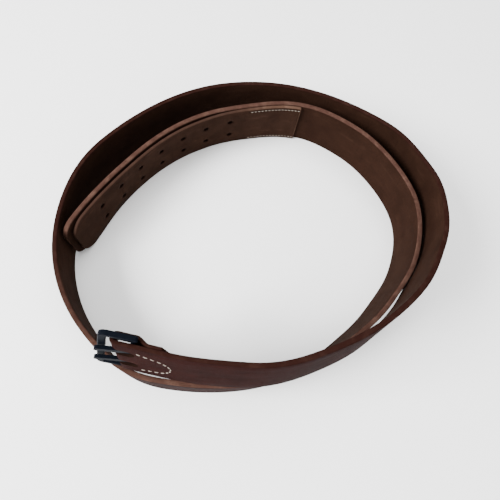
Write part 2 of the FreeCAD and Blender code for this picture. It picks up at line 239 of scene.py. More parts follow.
class Route:
    """Middle surface of the strap, ruled between a foot curve and a head curve."""

    def __init__(self, stations: Sequence[tuple[float, ...]], width: float, half: float,
                 fold: Fold) -> None:
        """Fits the two curves.

        Args:
            stations: x, y, lift and lean of each station, in millimetres and degrees.
            width: Width of the strap.
            half: Half its thickness.
            fold: Shape of the folded end.
        """
        table = np.array(stations, float)
        lean = np.radians(table[:, 3:4])
        places = table[:, :3] * MM
        places[:, 2] += half * np.sin(np.abs(lean[:, 0]))
        steps = np.linalg.norm(np.diff(places, axis=0), axis=1)
        knots = np.concatenate([[0.0], np.cumsum(steps)])
        self.length = float(knots[-1])
        self.foot = Spline(knots, places)
        along = unit(self.foot.slopes)
        inward = unit(np.cross((0, 0, 1), along))
        upright = np.cross(along, inward)
        heads = places + (upright * np.cos(lean) + inward * np.sin(lean)) * width
        self.head = Spline(knots, heads)
        self.fold = fold

    def axes(self, distance: np.ndarray) -> tuple[np.ndarray, ...]:
        """Directions of the strap.

        Args:
            distance: Distances along the route.

        Returns:
            Foot points and the along, inward and upward unit vectors, one row per distance.
        """
        foot, slope = self.foot.at(distance)
        up = unit(self.head.at(distance)[0] - foot)
        inward = unit(np.cross(up, slope))
        return foot, np.cross(inward, up), inward, up

    def lay(self, flat: np.ndarray) -> np.ndarray:
        """Places in the row frame of flat places.

        Args:
            flat: One row (along, inward, up) per point.

        Returns:
            One row (x, y, z) per point.
        """
        foot, along, inward, up = self.axes(np.maximum(flat[:, 0], 0.0))
        back = np.maximum(-flat[:, 0], 0.0)
        x, y, normal_x, normal_y = self.fold.path(back)
        before = (flat[:, 0] < 0)[:, None]
        x_shift = np.where(before, (x - self.fold.straight + normal_x * flat[:, 1])[:, None], 0.0)
        y_shift = np.where(before, (y + normal_y * flat[:, 1])[:, None], flat[:, 1:2])
        return foot + along * x_shift + inward * y_shift + up * flat[:, 2:3]


# ------------------------------------------------------------------ bench tools
def start_fresh() -> None:
    """Leaves nothing selected."""
    if bpy.context.object is not None and bpy.context.object.mode != "OBJECT":
        bpy.ops.object.mode_set(mode="OBJECT")
    bpy.ops.object.select_all(action="DESELECT")


def activate(piece: bpy.types.Object) -> None:
    """Makes a piece the only one that is selected, and the active one.

    Args:
        piece: Piece to work on.
    """
    start_fresh()
    piece.select_set(True)
    bpy.context.view_layer.objects.active = piece


def places_of(piece: bpy.types.Object) -> np.ndarray:
    """Reads the places of a piece's vertices.

    Args:
        piece: Piece to read.

    Returns:
        One row (x, y, z) per vertex.
    """
    flat = np.empty(len(piece.data.vertices) * 3, np.float64)
    piece.data.vertices.foreach_get("co", flat)
    return flat.reshape(-1, 3)


def put_places(piece: bpy.types.Object, places: np.ndarray) -> None:
    """Moves a piece's vertices to new places."""
    piece.data.vertices.foreach_set("co", places.astype(np.float32).ravel())
    piece.data.update()


def select_vertices(piece: bpy.types.Object, chosen: np.ndarray) -> None:
    """Selects only some vertices and the edges and faces that they make up, in edit mode.

    Args:
        piece: Piece to select on, which is left in edit mode.
        chosen: True for each vertex to select.
    """
    bpy.ops.object.mode_set(mode="OBJECT")
    piece.data.vertices.foreach_set("select", chosen)
    inside = np.empty(len(piece.data.edges) * 2, np.int32)
    piece.data.edges.foreach_get("vertices", inside)
    piece.data.edges.foreach_set("select", chosen[inside.reshape(-1, 2)].all(axis=1))
    piece.data.polygons.foreach_set(
        "select", [all(chosen[list(face.vertices)]) for face in piece.data.polygons])
    bpy.ops.object.mode_set(mode="EDIT")
    bpy.ops.mesh.select_mode(type="VERT")


def apply_modifier(piece: bpy.types.Object, kind: str, **settings: Any) -> None:
    """Adds one modifier to a piece and applies it.

    Args:
        piece: Piece to change.
        kind: Blender's name for the modifier.
        settings: Its settings.
    """
    activate(piece)
    modifier = piece.modifiers.new(kind.lower(), kind)
    for name, value in settings.items():
        setattr(modifier, name, value)
    bpy.ops.object.modifier_apply(modifier=modifier.name)


def join_copies(pattern: bpy.types.Object, spots: Sequence[Matrix], name: str) -> bpy.types.Object:
    """One piece made of copies of a pattern, each with its own mesh.

    Args:
        pattern: Piece to copy, which is removed.
        spots: Place of each copy.
        name: Name of the new piece.

    Returns:
        The joined piece, with its places in its mesh.
    """
    copies = []
    for spot in spots:
        made = pattern.copy()
        made.data = pattern.data.copy()
        bpy.context.scene.collection.objects.link(made)
        made.data.transform(spot)
        copies.append(made)
    bpy.data.objects.remove(pattern)
    activate(copies[0])
    for made in copies[1:]:
        made.select_set(True)
    if len(copies) > 1:
        bpy.ops.object.join()
    joined = bpy.context.object
    joined.name = name
    joined.data.name = name
    return joined


def cut_away(piece: bpy.types.Object, cutter: bpy.types.Object) -> None:
    """Cuts a closed tool out of a piece.

    Args:
        piece: Piece to cut.
        cutter: The tool, which is removed.
    """
    for material in piece.data.materials:
        cutter.data.materials.append(material)
    # The cut walls of the holes and slots get the punched finish, kept very dark as painted shade
    # inside the openings.
    for face in cutter.data.polygons:
        face.material_index = Side.PUNCHED.value
    apply_modifier(piece, "BOOLEAN", operation="DIFFERENCE", solver="EXACT", object=cutter)
    bpy.data.objects.remove(cutter)


def note_flat(piece: bpy.types.Object) -> None:
    """Keeps a piece's flat places as an attribute, for the grain that follows the leather."""
    kept = piece.data.attributes.new(FLAT, "FLOAT_VECTOR", "POINT")
    kept.data.foreach_set("vector", places_of(piece).astype(np.float32).ravel())


def finish_surface(piece: bpy.types.Object, angle: float) -> None:
    """Smooths a piece's shading up to an angle in degrees."""
    activate(piece)
    bpy.ops.object.shade_smooth_by_angle(angle=math.radians(angle))


# ------------------------------------------------------------------ shader tools
@dataclass(frozen=True)
class Cloud:
    """Cloudy pattern: size of its patches in metres, finer detail, and stretch of its places."""

    size: float
    detail: float
    roughness: float
    stretch: Place | None = None


class Signal:
    """A number that varies over a surface.  Arithmetic on it adds Math nodes."""

    def __init__(self, board: "Board", socket: bpy.types.NodeSocket) -> None:
        """Wraps the output socket that gives the number."""
        self.board = board
        self.socket = socket

    def _math(self, operation: str, *terms: Any) -> "Signal":
        """One Math node on terms that are numbers or signals."""
        return self.board.node("ShaderNodeMath", {"operation": operation}, dict(enumerate(terms)))

    def __add__(self, other: Any) -> "Signal":
        """Sum."""
        return self._math("ADD", self, other)

    def __radd__(self, other: Any) -> "Signal":
        """Sum with a number first."""
        return self._math("ADD", other, self)

    def __sub__(self, other: Any) -> "Signal":
        """Difference."""
        return self._math("SUBTRACT", self, other)

    def __rsub__(self, other: Any) -> "Signal":
        """Difference from a number."""
        return self._math("SUBTRACT", other, self)

    def __mul__(self, other: Any) -> "Signal":
        """Product."""
        return self._math("MULTIPLY", self, other)

    def __rmul__(self, other: Any) -> "Signal":
        """Product with a number first."""
        return self._math("MULTIPLY", other, self)

    def __truediv__(self, other: Any) -> "Signal":
        """Quotient."""
        return self._math("DIVIDE", self, other)

    def __abs__(self) -> "Signal":
        """Size without its sign."""
        return self._math("ABSOLUTE", self)

    def __pow__(self, other: Any) -> "Signal":
        """Power."""
        return self._math("POWER", self, other)

    def fraction(self) -> "Signal":
        """Part after the whole number."""
        return self._math("FRACT", self)

    def highest(self, other: Any) -> "Signal":
        """Larger of two."""
        return self._math("MAXIMUM", self, other)

    def step(self, low: float, high: float) -> "Signal":
        """Smooth rise of the number.

        Args:
            low: Where it starts from 0.
            high: Where it reaches 1.

        Returns:
            The rise, from 0 to 1.
        """
        return self.board.node(
            "ShaderNodeMapRange", {"interpolation_type": "SMOOTHSTEP"},
            {"Value": self, "From Min": low, "From Max": high})


class Board:
    """Node tree of one material, with its surface shader."""

    def __init__(self, name: str) -> None:
        """Starts a material with one surface shader.

        Args:
            name: Name of the material.
        """
        self.material = bpy.data.materials.new(name)
        self.material.use_nodes = True
        self.tree = self.material.node_tree
        self.shader = self.tree.nodes["Principled BSDF"]

    def node(self, kind: str, settings: dict[str, Any] | None = None,
             inputs: dict[Any, Any] | None = None, output: int | str = 0) -> Signal:
        """Adds one node.

        Args:
            kind: Blender's name for the node.
            settings: Its settings.
            inputs: Values or signals of its sockets, by name or number.
            output: Socket to read, by name or number.

        Returns:
            That socket as a signal.
        """
        made = self.tree.nodes.new(kind)
        for name, value in (settings or {}).items():
            setattr(made, name, value)
        for key, value in (inputs or {}).items():
            self.feed(made.inputs[key], value)
        return Signal(self, made.outputs[output])

    def feed(self, socket: bpy.types.NodeSocket, value: Any) -> None:
        """Links a signal to a socket, or sets a plain value on it.

        Args:
            socket: Input socket of a node.
            value: Signal, number, vector or colour.
        """
        if isinstance(value, Signal):
            self.tree.links.new(value.socket, socket)
        elif isinstance(value, tuple) and socket.type == "RGBA":
            socket.default_value = (*value, 1.0)
        else:
            socket.default_value = value

    def surface(self, **inputs: Any) -> None:
        """Feeds sockets of the surface shader; an underscore in a name stands for a space."""
        for name, value in inputs.items():
            self.feed(self.shader.inputs[name.replace("_", " ")], value)

    def flat(self) -> Signal:
        """Flat place on a piece, as a vector."""
        settings = {"attribute_type": "GEOMETRY", "attribute_name": FLAT}
        return self.node("ShaderNodeAttribute", settings, output="Vector")

    def parts(self, vector: Signal) -> tuple[Signal, Signal, Signal]:
        """Three numbers of a vector."""
        split = self.node("ShaderNodeSeparateXYZ", None, {0: vector})
        return tuple(Signal(self, socket) for socket in split.socket.node.outputs)

    def noise(self, vector: Signal, cloud: Cloud) -> Signal:
        """Cloudy noise.

        Args:
            vector: Place on the piece.
            cloud: Its pattern.

        Returns:
            The noise, from 0 to 1.
        """
        if cloud.stretch is not None:
            vector = self.node("ShaderNodeVectorMath", {"operation": "MULTIPLY"},
                               {0: vector, 1: cloud.stretch})
        return self.node("ShaderNodeTexNoise", None, {
            "Vector": vector, "Scale": 1 / cloud.size, "Detail": cloud.detail,
            "Roughness": cloud.roughness})

    def cells(self, vector: Signal, size: float, smoothness: float = 0.6) -> Signal:
        """Round cells.

        Args:
            vector: Place on the piece.
            size: Size of a cell in metres.
            smoothness: How softly the cells meet.

        Returns:
            Distance from the middle of the nearest cell.
        """
        return self.node("ShaderNodeTexVoronoi", {"feature": "SMOOTH_F1"}, {
            "Vector": vector, "Scale": 1 / size, "Smoothness": smoothness})

    def mix(self, share: Any, first: Any, second: Any) -> Signal:
        """Colour between two colours."""
        return self.node("ShaderNodeMix", {"data_type": "RGBA"}, {0: share, 6: first, 7: second},
                         output=2)

    def relief(self, height: Signal, depth: float) -> None:
        """Bumps the surface by a height signal that is depth metres tall."""
        bump = self.node("ShaderNodeBump", None, {
            "Height": height, "Distance": depth, "Strength": 1.0})
        self.surface(Normal=bump)


# ------------------------------------------------------------------ finishes
@dataclass(frozen=True)
class SeamMark:
    """Creases that two rows of stitches pull into leather."""

    start: float
    end: float
    heights: tuple[float, float]
    half_width: float = 0.9 * MM
    core: float = 0.2
    end_fade: float = 0.5 * MM

    def mask(self, along: Signal, up: Signal) -> Signal:
        """Pressed part of the leather.

        Args:
            along: Flat place along the strap.
            up: Flat place up the strap.

        Returns:
            1 on a crease, 0 away from it.
        """
        run = along.step(self.start - self.end_fade, self.start + self.end_fade)
        run = run * (1 - along.step(self.end - self.end_fade, self.end + self.end_fade))
        lower, upper = (
            1 - abs(up - height).step(self.core * self.half_width, self.half_width)
            for height in self.heights)
        return run * lower.highest(upper)


@dataclass(frozen=True)
class PunchMarks:
    """Pressed rings round punched holes in two rows."""

    first: float
    pitch: float
    count: int
    rows: tuple[float, float]
    radius: float
    fade: float = 1.5 * MM
    end_fade: float = 1 * MM

    def mask(self, along: Signal, up: Signal) -> Signal:
        """Pressed part of the leather.

        Args:
            along: Flat place along the strap.
            up: Flat place up the strap.

        Returns:
            1 at the rim of a hole, 0 away from it.
        """
        low = self.first - self.pitch * (self.count - 0.5)
        high = self.first + self.pitch * 0.5
        across = (((along - low) / self.pitch).fraction() - 0.5) * self.pitch
        middle = sum(self.rows) / 2
        level = abs(up - middle) - (self.rows[1] - self.rows[0]) / 2
        distance = (across * across + level * level) ** 0.5
        ring = 1 - distance.step(self.radius, self.radius + self.fade)
        past_ends = 1 - along.step(high, high + self.end_fade)
        return ring * along.step(low - self.end_fade, low) * past_ends


@dataclass(frozen=True)
class LeatherFinish:
    """Dyed and waxed face of bridle leather, with pores, pull streaks and rubbed places.

    A band gives the values between which a pattern fades in, a share how far a colour turns, and
    a height how much a pattern adds to the relief.
    """

    name: str
    tone: Colour
    # deep: darker colour of the random mottle and the face rims, and of the painted shade in
    # pores, crease lines and pressed marks
    deep: Colour
    worn: Colour
    wear: float
    seam: SeamMark | None = None
    holes: PunchMarks | None = None
    width: float = STRAP_WIDTH
    roughness: float = 0.58
    pore: float = 0.9 * MM
    relief: float = 0.16 * MM
    mottle: Cloud = Cloud(16 * MM, 3.0, 0.6)
    streak: Cloud = Cloud(3.2 * MM, 4.0, 0.65, (0.12, 1.0, 1.0))
    crease: Cloud = Cloud(2.6 * MM, 3.0, 0.6, (1.0, 1.0, 0.16))
    grain: Cloud = Cloud(0.45 * MM, 2.0, 0.6)
    rim_band: Band = (0.4 * MM, 2.6 * MM)
    worn_streaks: Band = (0.52, 0.74)
    worn_mottle: Band = (0.42, 0.62)
    dark_mottle: Band = (0.28, 0.66)
    pit_band: Band = (0.12, 0.45)
    crease_band: Band = (0.60, 0.70)
    dark_share: float = 0.55
    rim_share: float = 0.35
    pore_shade_share: float = 0.45
    crease_shade_share: float = 0.35
    pressed_shade_share: float = 0.6
    pore_height: float = 0.5
    grain_height: float = 0.45
    crease_height: float = 0.35
    mottle_height: float = 0.8
    seam_depth: float = 5.0
    hole_depth: float = 3.0
    streak_rough: float = 0.22
    pit_rough: float = 0.2
    worn_polish: float = 0.06

    def build(self) -> bpy.types.Material:
        """Makes the material.

        Returns:
            The material, ready to give to a piece.
        """
        board = Board(self.name)
        flat = board.flat()
        along, _, up = board.parts(flat)
        mottle = board.noise(flat, self.mottle)
        streaks = board.noise(flat, self.streak)
        creases = board.noise(flat, self.crease)
        grain = board.noise(flat, self.grain)
        pores = board.cells(flat, self.pore)
        edge_gap = self.width / 2 - abs(up - self.width / 2)
        rim = 1 - edge_gap.step(*self.rim_band)
        rubbed = streaks.step(*self.worn_streaks) * mottle.step(*self.worn_mottle)
        dark = (1 - mottle.step(*self.dark_mottle)) * self.dark_share + rim * self.rim_share
        # Painted shade: the pore hollows and the crease lines are darkened towards deep.
        pits = (1 - pores.step(*self.pit_band)) * self.pore_shade_share
        crease_shade = creases.step(*self.crease_band) * self.crease_shade_share
        colour = board.mix(dark, self.tone, self.deep)
        colour = board.mix(crease_shade + pits, colour, self.deep)
        colour = board.mix(rubbed * self.wear, colour, self.worn)
        height = (pores * self.pore_height + grain * self.grain_height
                  + creases * self.crease_height + mottle * self.mottle_height)
        rough = (self.roughness + (streaks - 0.5) * self.streak_rough + pits * self.pit_rough
                 - rubbed * self.worn_polish)
        for mark, depth in ((self.seam, self.seam_depth), (self.holes, self.hole_depth)):
            if mark is not None:
                # Painted shade: the pressed seam creases and the pressed rings round the holes are
                # darkened towards deep, besides being sunk in the relief.
                pressed = mark.mask(along, up)
                colour = board.mix(pressed * self.pressed_shade_share, colour, self.deep)
                height = height - pressed * depth
        board.surface(Base_Color=colour, Roughness=rough, Specular_IOR_Level=LEATHER_GLOSS)
        board.relief(height, self.relief)
        return board.material


@dataclass(frozen=True)
class EdgeFinish:
    """Cut and burnished edge: pressed fibre layers with lighter rubbed stretches.

    Where dyed is given, the edge has that colour before bare_from along the strap, and fades to
    its own over bare_over.  A negative bare_over turns this round, so that the edge is bare
    before bare_from.
    """

    name: str
    tone: Colour
    deep: Colour
    worn: Colour
    roughness: float = 0.6
    wear: float = 0.6
    dyed: Colour | None = None
    bare_from: float = 0.0
    bare_over: float = 0.1
    relief: float = 0.10 * MM
    layer: Cloud = Cloud(0.55 * MM, 3.0, 0.6, (0.10, 1.0, 0.10))
    patch: Cloud = Cloud(9 * MM, 4.0, 0.62)
    fibre: Cloud = Cloud(0.5 * MM, 2.0, 0.7, (0.5, 1.0, 1.0))
    patch_band: Band = (0.42, 0.66)
    layer_band: Band = (0.30, 0.58)
    fibre_band: Band = (0.25, 0.62)
    layer_gap_shade_share: float = 0.7
    dye_loss: float = 0.2
    bare_rough: float = 0.2
    layer_height: float = 0.7
    fibre_height: float = 0.5

    def build(self) -> bpy.types.Material:
        """Makes the material.

        Returns:
            The material, ready to give to a piece.
        """
        board = Board(self.name)
        flat = board.flat()
        layers = board.noise(flat, self.layer)
        patches = board.noise(flat, self.patch)
        fibres = board.noise(flat, self.fibre)
        bare = patches.step(*self.patch_band) * self.wear
        # Painted shade: the low gaps between the fibre layers are darkened towards deep.
        between = (1 - layers.step(*self.layer_band)) * self.layer_gap_shade_share
        colour = board.mix(between, self.tone, self.deep)
        colour = board.mix(bare * fibres.step(*self.fibre_band), colour, self.worn)
        if self.dyed is not None:
            along = board.parts(flat)[0]
            thin = along.step(self.bare_from, self.bare_from + self.bare_over)
            colour = board.mix((1 - thin) * (1 - bare * self.dye_loss), colour, self.dyed)
        board.surface(Base_Color=colour, Roughness=self.roughness + bare * self.bare_rough,
                      Specular_IOR_Level=LEATHER_GLOSS)
        board.relief(layers * self.layer_height + fibres * self.fibre_height, self.relief)
        return board.material


@dataclass(frozen=True)
class MetalFinish:
    """Blackened steel, satin, with the black thinned and rubbed in places."""

    name: str
    tone: Colour
    bare: Colour
    roughness: float = 0.45
    gloss: float = 0.006
    relief: float = 0.03 * MM
    cloud: Cloud = Cloud(5 * MM, 4.0, 0.6)
    brush: Cloud = Cloud(0.35 * MM, 3.0, 0.6, (1.0, 1.0, 0.08))
    speck: Cloud = Cloud(0.8 * MM, 3.0, 0.7)
    cloud_band: Band = (0.50, 0.70)
    speck_band: Band = (0.45, 0.70)
    brush_band: Band = (0.55, 0.80)
    rubbed_share: float = 0.65
    brush_share: float = 0.25
    cloud_rough: float = 0.25
    rubbed_polish: float = 0.05
    brush_height: float = 0.4
    speck_height: float = 0.3

    def build(self) -> bpy.types.Material:
        """Makes the material.

        Returns:
            The material, ready to give to a piece.
        """
        board = Board(self.name)
        spot = board.node("ShaderNodeTexCoord", output="Object")
        cloud = board.noise(spot, self.cloud)
        brushed = board.noise(spot, self.brush)
        specks = board.noise(spot, self.speck)
        rubbed = cloud.step(*self.cloud_band) * specks.step(*self.speck_band)
        thin = rubbed * self.rubbed_share + brushed.step(*self.brush_band) * self.brush_share
        rough = (self.roughness + (cloud - 0.5) * self.cloud_rough
                 - rubbed * self.rubbed_polish)
        board.surface(Base_Color=board.mix(thin, self.tone, self.bare), Roughness=rough,
                      Specular_IOR_Level=self.gloss)
        board.relief(brushed * self.brush_height + specks * self.speck_height, self.relief)
        return board.material


@dataclass(frozen=True)
class ThreadFinish:
    """Waxed thread, laid up of twisted plies."""

    name: str
    tone: Colour
    # shade: colour of the painted shade in the grooves between the plies, and of the real soil
    shade: Colour
    roughness: float = 0.62
    relief: float = 0.12 * MM
    ply_length: float = 0.55 * MM
    ply_slant: float = 1.2
    lint: Cloud = Cloud(0.25 * MM, 2.0, 0.6)
    soil: Cloud = Cloud(7 * MM, 2.0, 0.6)
    groove_band: Band = (0.0, 0.45)
    soil_band: Band = (0.45, 0.70)
    groove_shade_share: float = 0.7
    soil_share: float = 0.35
    lint_rough: float = 0.2
    lint_height: float = 0.5

    def build(self) -> bpy.types.Material:
        """Makes the material.

        Returns:
            The material, ready to give to a piece.
        """
        board = Board(self.name)
        flat = board.flat()
        along, _, up = board.parts(flat)
        twist = ((along + up * self.ply_slant) / self.ply_length).fraction()
        ply = abs(twist - 0.5) * 2
        lint = board.noise(flat, self.lint)
        soil = board.noise(flat, self.soil).step(*self.soil_band)
        groove = 1 - ply.step(*self.groove_band)
        # Painted shade: the grooves between the plies are darkened towards shade. The cloudy soil
        # added to it is real soiling of the thread.
        groove_shade_and_soil = groove * self.groove_shade_share + soil * self.soil_share
        board.surface(Base_Color=board.mix(groove_shade_and_soil, self.tone, self.shade),
                      Roughness=self.roughness + lint * self.lint_rough)
        board.relief(ply + lint * self.lint_height, self.relief)
        return board.material


# ------------------------------------------------------------------ leather pieces
@dataclass
class LeatherSides:
    """Materials of a piece's outer face, inner face, edges and punched walls."""

    outer: bpy.types.Material
    inner: bpy.types.Material
    edge: bpy.types.Material
    punched: bpy.types.Material

    def dress(self, piece: bpy.types.Object) -> None:
        """Gives a piece its materials, in the order of Side."""
        for material in (self.outer, self.inner, self.edge, self.punched):
            piece.data.materials.append(material)


@dataclass
class Blank:
    """Flat piece of leather, cut out, thickened and edged."""

    name: str
    start: float
    end: float
    low: float
    high: float
    thickness: float
    edge_round: float
    start_outline: list[tuple[float, float]]
    end_outline: list[tuple[float, float]]
    cuts: list[float]
    rows: int = 6
    edge_steps: int = 3
    sharp_angle: float = 60.0

    @staticmethod
    def round_corners(radius: float, low: float, high: float,
                      steps: int = 6) -> list[tuple[float, float]]:
        """Outline of an end with round corners.

        Args:
            radius: Radius of the corners.
            low: Lower edge of the piece.
            high: Upper edge of the piece.
            steps: Straight steps in each corner.

        Returns:
            How far in from the end, and at what height, each point lies, from low to high.
        """
        corner = []
        for step in range(steps + 1):
            turn = math.pi / 2 * step / steps
            corner.append((radius * (1 - math.sin(turn)), radius * (1 - math.cos(turn))))
        lower = [(inset, low + rise) for inset, rise in corner]
        upper = [(inset, high - rise) for inset, rise in reversed(corner)]
        return lower + upper

    @staticmethod
    def bowed(depth: float, low: float, high: float, steps: int = 14) -> list[tuple[float, float]]:
        """Outline of an end that bulges in one arc.

        Args:
            depth: How far the middle of the arc stands out.
            low: Lower edge of the piece.
            high: Upper edge of the piece.
            steps: Straight steps in the arc.

        Returns:
            Points as for round_corners.
        """
        half = (high - low) / 2
        radius = (half * half + depth * depth) / (2 * depth)
        points = []
        for step in range(steps + 1):
            height = -half + 2 * half * step / steps
            points.append((radius - math.sqrt(radius * radius - height * height),
                           low + half + height))
        return points

    def _shape_end(self, piece: bpy.types.Object, end: float, facing: int,
                   outline: list[tuple[float, float]]) -> None:
        """Divides one end edge and moves its points on to an outline.

        Args:
            piece: Flat piece.
            end: Place of the end along the piece.
            facing: 1 where the end faces along the strap, -1 where it faces back.
            outline: How far in, and at what height, each point lies.
        """
        places = places_of(piece)
        select_vertices(piece, np.abs(places[:, 0] - end) < SAME_PLACE)
        bpy.ops.mesh.subdivide(number_cuts=len(outline) - 2)
        bpy.ops.object.mode_set(mode="OBJECT")
        places = places_of(piece)
        found = np.flatnonzero(np.abs(places[:, 0] - end) < SAME_PLACE)
        found = found[np.argsort(places[found, 2])]
        for index, (inset, height) in zip(found, outline):
            places[index] = (end - facing * inset, 0.0, height)
        put_places(piece, places)

    def cut_out(self) -> bpy.types.Object:
        """Cuts the piece out of a sheet without thickness, divided where it will bend.

        Returns:
            The flat sheet.
        """
        start_fresh()
        middle = ((self.start + self.end) / 2, 0.0, (self.low + self.high) / 2)
        bpy.ops.mesh.primitive_plane_add(size=1.0, location=middle,
                                         rotation=(math.pi / 2, 0.0, 0.0))
        piece = bpy.context.object
        piece.name = piece.data.name = self.name
        piece.scale = (self.end - self.start, self.high - self.low, 1.0)
        bpy.ops.object.transform_apply(location=True, rotation=True, scale=True)
        self._shape_end(piece, self.start, -1, self.start_outline)
        self._shape_end(piece, self.end, 1, self.end_outline)
        bpy.ops.object.mode_set(mode="EDIT")
        for place in self.cuts:
            bpy.ops.mesh.select_all(action="SELECT")
            bpy.ops.mesh.bisect(plane_co=(place, 0, 0), plane_no=(1, 0, 0),
                                threshold=CUT_REACH)
        for row in range(1, self.rows):
            height = self.low + (self.high - self.low) * row / self.rows
            bpy.ops.mesh.select_all(action="SELECT")
            bpy.ops.mesh.bisect(plane_co=(0, 0, height), plane_no=(0, 0, 1),
                                threshold=CUT_REACH)
        bpy.ops.object.mode_set(mode="OBJECT")
        return piece

    def build(self, sides: LeatherSides) -> bpy.types.Object:
        """Cuts the piece out, thickens it and rounds its edges.

        Args:
            sides: Materials of its sides.

        Returns:
            The flat piece.
        """
        piece = self.cut_out()
        sides.dress(piece)
        apply_modifier(piece, "SOLIDIFY", thickness=self.thickness, offset=0.0,
                       material_offset=Side.INNER.value, material_offset_rim=Side.EDGE.value)
        apply_modifier(piece, "BEVEL", width=self.edge_round, segments=self.edge_steps,
                       limit_method="ANGLE", angle_limit=math.radians(self.sharp_angle),
                       use_clamp_overlap=False, material=Side.EDGE.value)
        return piece


@dataclass
class MainStrap:
    """One strap from its rounded tail to the leg folded back round the buckle's bar."""

    route: Route
    width: float = STRAP_WIDTH
    thickness: float = STRAP_THICKNESS
    skived: float = 2.2 * MM
    skived_length: float = 80 * MM
    tail_corner: float = 11 * MM
    slot_width: float = 8 * MM
    slot_end: float = 9 * MM
    slot_tool_depth: float = 10 * MM
    slot_tool_sides: int = 32
    row_gap: float = HOLE_ROW_GAP
    cut_step: float = 5 * MM
    leg_cut_from: float = 7.5 * MM
    leg_cut_step: float = 1.0 * MM
    nose_cuts: int = 15
    front_cut_from: float = 2 * MM
    front_cut_to: float = 1 * MM
    front_cut_step: float = 3 * MM
    edge_round: float = 0.75 * MM

    def _cuts(self, tail: list[tuple[float, float]]) -> list[float]:
        """Places of the cuts across the flat strap, close together where it bends sharply.

        Args:
            tail: Outline of the tail.

        Returns:
            Distances along the strap.
        """
        fold = self.route.fold
        nose_from = -(fold.straight + fold.arc)
        cuts = list(np.arange(-fold.length + self.leg_cut_from, nose_from, self.leg_cut_step))
        cuts += list(np.linspace(nose_from, -fold.straight, self.nose_cuts))
        cuts += list(np.arange(-fold.straight + self.front_cut_from, -self.front_cut_to,
                               self.front_cut_step))
        end = self.route.length - self.tail_corner
        cuts += list(np.linspace(0, end, round(end / self.cut_step)))
        corners = sorted({round(self.route.length - inset, 7) for inset, _ in tail})
        return cuts + [place for place in corners[1:-1] if place > end + SAME_PLACE]

    def _slot_cutter(self) -> bpy.types.Object:
        """Makes the two round-ended tools that open the fold for the prongs.

        Returns:
            Both tools as one piece.
        """
        fold = self.route.fold
        near = -(fold.straight - self.slot_end)
        far = -(fold.straight + fold.arc + self.slot_end)
        radius = self.slot_width / 2
        start_fresh()
        bpy.ops.mesh.primitive_cylinder_add(
            vertices=self.slot_tool_sides, radius=radius, depth=self.slot_tool_depth,
            location=(near - radius, 0, 0), rotation=(math.pi / 2, 0, 0))
        tool = bpy.context.object
        bpy.ops.object.transform_apply(location=True, rotation=True, scale=True)
        select_vertices(tool, places_of(tool)[:, 0] < near - radius - SAME_PLACE)
        bpy.ops.transform.translate(value=(far - near + 2 * radius, 0, 0))
        bpy.ops.object.mode_set(mode="OBJECT")
        middle = self.width / 2
        spots = [Matrix.Translation((0, 0, middle + row * self.row_gap / 2)) for row in (-1, 1)]
        return join_copies(tool, spots, "slot_tool")

    def build(self, sides: LeatherSides) -> bpy.types.Object:
        """Makes the strap, skives its buckle end, opens the slots and lays it on its route.

        Args:
            sides: Materials of its sides.

        Returns:
            The finished strap.
        """
        fold = self.route.fold
        tail = Blank.round_corners(self.tail_corner, 0.0, self.width)
        leg_end = Blank.bowed(fold.leg - fold.leg_shoulder, 0.0, self.width)
        blank = Blank("strap", -fold.length, self.route.length, 0.0, self.width, self.thickness,
                      self.edge_round, leg_end, tail, self._cuts(tail))
        piece = blank.build(sides)
        cut_away(piece, self._slot_cutter())
        note_flat(piece)
        flat = places_of(piece)
        grown = np.clip(flat[:, 0] / self.skived_length, 0.0, 1.0)
        half = (self.skived + (self.thickness - self.skived) * grown) / 2
        round_nose = smooth_step((-flat[:, 0] - fold.straight) / fold.arc)
        half = half + (fold.leg_half - half) * round_nose
        flat[:, 1] *= half / (self.thickness / 2)
        put_places(piece, self.route.lay(flat))
        finish_surface(piece, LEATHER_SMOOTH)
        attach(piece, Body.BELT.value)
        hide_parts("main_strap")
        return piece


